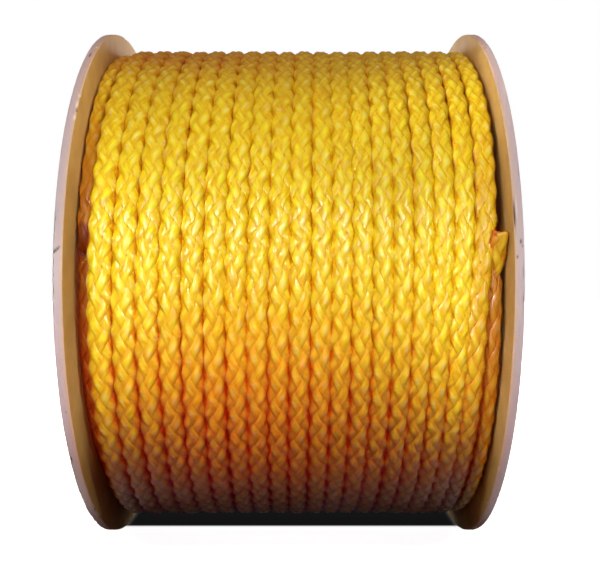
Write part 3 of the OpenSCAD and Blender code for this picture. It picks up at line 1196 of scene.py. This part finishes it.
WARM = "#FF3F27"
LAMPS = (
    Lamp("key_high", (-0.03, -0.50, 0.232), (-0.01, -0.09, 0.137), (0.05, 0.04), 0.0076, spread=18),
    Lamp("key_low", (-0.03, -0.50, 0.232), (-0.01, -0.09, 0.107), (0.05, 0.04), 0.0008, spread=18),
    *lamp_pair("key", 0.0082, 0.0063, (-0.20, -0.48, 0.222), (-0.04, -0.09, 0.117), (0.05, 0.04), 18),
    Lamp("left_slant", (-0.14, -0.44, 0.302), (-0.04, -0.085, 0.092), (0.05, 0.04), 0.0019, spread=12),
    Lamp("right_slant", (0.12, -0.44, 0.322), (0.035, -0.085, 0.097), (0.05, 0.04), 0.0025, spread=12),
    Lamp("top", (0.0, -0.40, 0.462), (0.0, -0.07, 0.137), (0.08, 0.08), 0.0026, spread=20),
    Lamp("low_fill", (0.0, -0.45, 0.102), (0.0, -0.09, 0.072), (0.07, 0.05), 0.0028, WARM, 14),
    Lamp("low_fill_left", (-0.05, -0.45, 0.102), (-0.03, -0.09, 0.067), (0.05, 0.04), 0.0013, WARM, 12),
    Lamp("low_fill_wide", (0.0, -0.45, 0.102), (0.0, -0.09, 0.057), (0.16, 0.04), 0.0042, WARM, 12),
    Lamp("low_glint", (0.0, -0.30, 0.030), (0.0, -0.09, 0.077), (0.16, 0.01), 0.0003, spread=12),
    Lamp("glance", (0.0, -0.40, 0.400), (0.0, -0.085, 0.064), (0.14, 0.03), 0.0060, spread=9),
    *lamp_pair("face", 0.0049, 0.0052, (0.16, -0.32, 0.132), (-0.0685, -0.085, 0.122), (0.02, 0.15), 8),
    *lamp_pair("face_high", 0.0014, 0.0040, (0.14, -0.20, 0.262), (-0.0685, -0.06, 0.162),
               (0.03, 0.06), 12),
    *lamp_pair("face_front", 0.0018, 0.0018, (0.08, -0.45, 0.142), (-0.0685, -0.085, 0.132),
               (0.02, 0.15), 8),
    *lamp_pair("face_low", 0.0016, 0.0030, (0.20, -0.40, 0.452), (-0.0685, -0.07, 0.034), (0.04, 0.04), 9),
    *lamp_pair("rim", 0.0039, 0.0021, (-0.10, -0.45, 0.102), (-0.0785, -0.09, 0.067), (0.006, 0.09), 4),
    Lamp("right_rim_high", (0.10, -0.45, 0.182), (0.0785, -0.09, 0.137), (0.006, 0.10), 0.0005, spread=4),
    Lamp("right_rim_low", (0.10, -0.45, 0.012), (0.0785, -0.062, 0.030), (0.006, 0.05), 0.0011, spread=4),
    *lamp_pair("side", 3.0, 3.0, (-0.9, 0.35, 0.24), (0.0, 0.0, 0.102), (0.5, 0.3)),
    Lamp("back", (0.0, 0.9, 0.26), (0.0, 0.0, 0.102), (0.7, 0.3), 6.0),
)


def ray_kinds(tree: NodeTree) -> tuple[NodeSocket, Node]:
    """Tells the camera's own rays, and those that a surface mirrors or lets through."""
    path = add_node(tree, "LightPath")
    mirrored = add_node(tree, "Math", {
        0: path.outputs["Is Glossy Ray"], 1: path.outputs["Is Transmission Ray"]}, operation="MAXIMUM")
    return path.outputs["Is Camera Ray"], mirrored


@dataclass
class Studio:
    """Camera, floor and soft light round the reel. Sizes are in metres.

    The gap is the floor under the line. It takes a painted deep shadow: fully within the first of
    each pair of half sizes, and not at all beyond the second.
    """

    flange_r: float
    lens: float = 48.0
    camera_x: float = 3.45 * MM
    camera_y: float = -343.4 * MM
    camera_rise: float = -2.64 * MM
    floor_half: float = 6.0
    # Painted shadow: the floor glows less within these radii of the reel and fully beyond them.
    shade_r: float = 0.25
    open_r: float = 1.2
    near_light: float = 0.95
    gap_half_w: tuple[float, float] = (67 * MM, 80 * MM)
    gap_half_l: tuple[float, float] = (17 * MM, 20 * MM)
    gap_y: float = 9 * MM
    painted_shadow_glow: float = 0.006
    painted_shadow_tone: str = "#141618"
    floor_tone: str = "#E6E6E6"
    bounce_tone: str = "#401408"
    sky: str = "#FFD8C4"
    backdrop_top: float = 0.45
    backdrop_low: float = 0.08
    room_half: float = 0.3
    room_front: float = 0.15

    def camera(self) -> None:
        """Places the level camera that faces the middle of the reel."""
        data = bpy.data.cameras.new("camera")
        data.lens = self.lens
        data.sensor_width = 36.0
        data.dof.use_dof = False
        data.clip_start = 0.01
        seat = new_object("camera", data)
        seat.location = (self.camera_x, self.camera_y, self.flange_r + self.camera_rise)
        seat.rotation_euler = (math.pi / 2, 0.0, 0.0)
        bpy.context.scene.camera = seat

    def light(self, lamp: Lamp) -> None:
        """Sets up one lamp."""
        data = bpy.data.lights.new(lamp.name, "AREA")
        data.spread = math.radians(lamp.spread)
        data.shape = "RECTANGLE"
        data.size, data.size_y = lamp.size
        data.energy = lamp.power
        data.color = linear(lamp.colour)[:3]
        stand = new_object(lamp.name, data)
        stand.location = lamp.place
        stand.rotation_euler = (Vector(lamp.aim) - Vector(lamp.place)).to_track_quat("-Z", "Y").to_euler()

    def floor(self) -> None:
        """Lays the pale floor, which gives back little light, keeps the shadow and has painted shadow near
        the reel.
        """
        made, tree, _ = new_material("pale_floor")
        tree.nodes.clear()
        camera_ray, mirrored = ray_kinds(tree)
        place = add_node(tree, "TexCoord").outputs["Object"]
        away = add_node(tree, "VectorMath", {0: place}, operation="LENGTH").outputs["Value"]
        ring = {"Value": away, "From Min": self.shade_r, "From Max": self.open_r}
        # Painted shadow: near the reel the floor glows less, to reflections down to nothing and to the
        # camera a little.
        open_floor = add_node(tree, "MapRange", ring)
        painted_floor_shadow = add_node(tree, "MapRange", {**ring, "To Min": self.near_light})
        split = add_node(tree, "SeparateXYZ", {0: place})
        onward = add_node(tree, "Math", {0: split.outputs["Y"], 1: self.gap_y}, operation="SUBTRACT")
        inside = []
        for off, (full, none) in ((split.outputs["X"], self.gap_half_w), (onward, self.gap_half_l)):
            inside.append(add_node(tree, "MapRange", {
                "Value": add_node(tree, "Math", {0: off}, operation="ABSOLUTE"),
                "From Min": full, "From Max": none, "To Min": 1.0, "To Max": 0.0},
                interpolation_type="SMOOTHSTEP"))
        # Painted shadow under the line: there the floor's glow drops to almost nothing and its tone turns
        # dark.
        under = add_node(tree, "Math", {0: inside[0], 1: inside[1]}, operation="MULTIPLY")
        open_air = add_node(tree, "Math", {0: under, 1: self.painted_shadow_glow - 1, 2: 1.0},
                            operation="MULTIPLY_ADD")
        shadowed = add_node(tree, "Math", {0: painted_floor_shadow, 1: open_air}, operation="MULTIPLY")
        level = add_node(tree, "Mix", {0: camera_ray, 2: open_floor, 3: shadowed})
        tone = add_node(tree, "Mix", {
            0: under, 6: linear(self.floor_tone), 7: linear(self.painted_shadow_tone)}, data_type="RGBA")
        both = add_node(tree, "AddShader", {
            0: add_node(tree, "Emission", {"Strength": level}),
            1: add_node(tree, "BsdfDiffuse", {"Color": tone.outputs[2]})})
        mixed = add_node(tree, "MixShader", {
            0: add_node(tree, "Math", {0: camera_ray, 1: mirrored}, operation="MAXIMUM"),
            1: add_node(tree, "BsdfDiffuse", {"Color": linear(self.bounce_tone)}), 2: both})
        add_node(tree, "OutputMaterial", {0: mixed})
        half = self.floor_half
        mesh = bpy.data.meshes.new("floor")
        mesh.from_pydata([(-half, -half, 0), (half, -half, 0), (half, half, 0), (-half, half, 0)],
                         [], [(0, 1, 2, 3)])
        mesh.materials.append(made)
        new_object("floor", mesh)

    def world(self) -> None:
        """Shows a white backdrop to the camera and to reflections, and lights the reel only faintly."""
        world = bpy.data.worlds.new("studio")
        bpy.context.scene.world = world
        world.use_nodes = True
        tree = world.node_tree
        tree.nodes.clear()
        camera_ray, mirrored = ray_kinds(tree)
        split = add_node(tree, "SeparateXYZ", {0: add_node(tree, "TexCoord").outputs["Generated"]})
        backdrop = add_node(tree, "MapRange", {
            "Value": split.outputs["Z"], "From Max": self.backdrop_top, "To Min": 1.0,
            "To Max": self.backdrop_low})
        room = add_node(tree, "MapRange", {
            "Value": split.outputs["Y"], "From Min": -self.room_half, "From Max": self.room_half,
            "To Min": self.room_front})
        mirrored_air = add_node(tree, "Math", {0: backdrop, 1: room}, operation="MULTIPLY")
        sky = add_node(tree, "ValToRGB", {0: split.outputs["Z"]}, stops=(
            (0.50, "#000000"), (0.80, self.sky)))
        seen = add_node(tree, "Mix", {0: mirrored, 6: sky, 7: mirrored_air}, data_type="RGBA")
        shown = lay_over(tree, seen.outputs[2], ((camera_ray, "#FFFFFF"),))
        air = add_node(tree, "Background", {"Color": shown, "Strength": 1.0})
        add_node(tree, "OutputWorld", {0: air})

    def build(self) -> None:
        """Sets up camera, floor, backdrop and lamps."""
        self.camera()
        self.floor()
        self.world()
        for lamp in LAMPS:
            self.light(lamp)
        bpy.context.scene.view_settings.view_transform = "Standard"


# ---------- all of it ----------


def dress_hardware() -> None:
    """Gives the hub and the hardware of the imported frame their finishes."""
    zinc = ZincPlate().material()
    for node in ("left_arbor_bushing", "right_arbor_bushing", "tie_bolts", "head_washers",
                 "nut_washers", "tie_nuts"):
        paint(node, zinc)
    paint("core_tube", WoundPaper().material())
    board = ParticleBoard().material()
    for node in ("left_hub_plug", "right_hub_plug"):
        paint(node, board)


def paint(node: str, material: Material) -> None:
    """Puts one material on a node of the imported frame."""
    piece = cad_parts[node]
    piece.data.materials.clear()
    piece.data.materials.append(material)


def main() -> None:
    """Builds and dresses the reel, part by part."""
    logging.basicConfig(level=logging.INFO, format="%(name)s: %(message)s")
    low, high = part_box("left_flange")
    flange_r = (high.z - low.z) / 2
    half_w = -high.x
    thickness = high.x - low.x
    finish = Hardboard()
    for side in Side:
        Flange(side, flange_r, half_w, thickness, finish).build()
    Winding(flange_r, half_w).build()
    dress_hardware()
    Studio(flange_r).build()


if __name__ == "__main__":
    main()
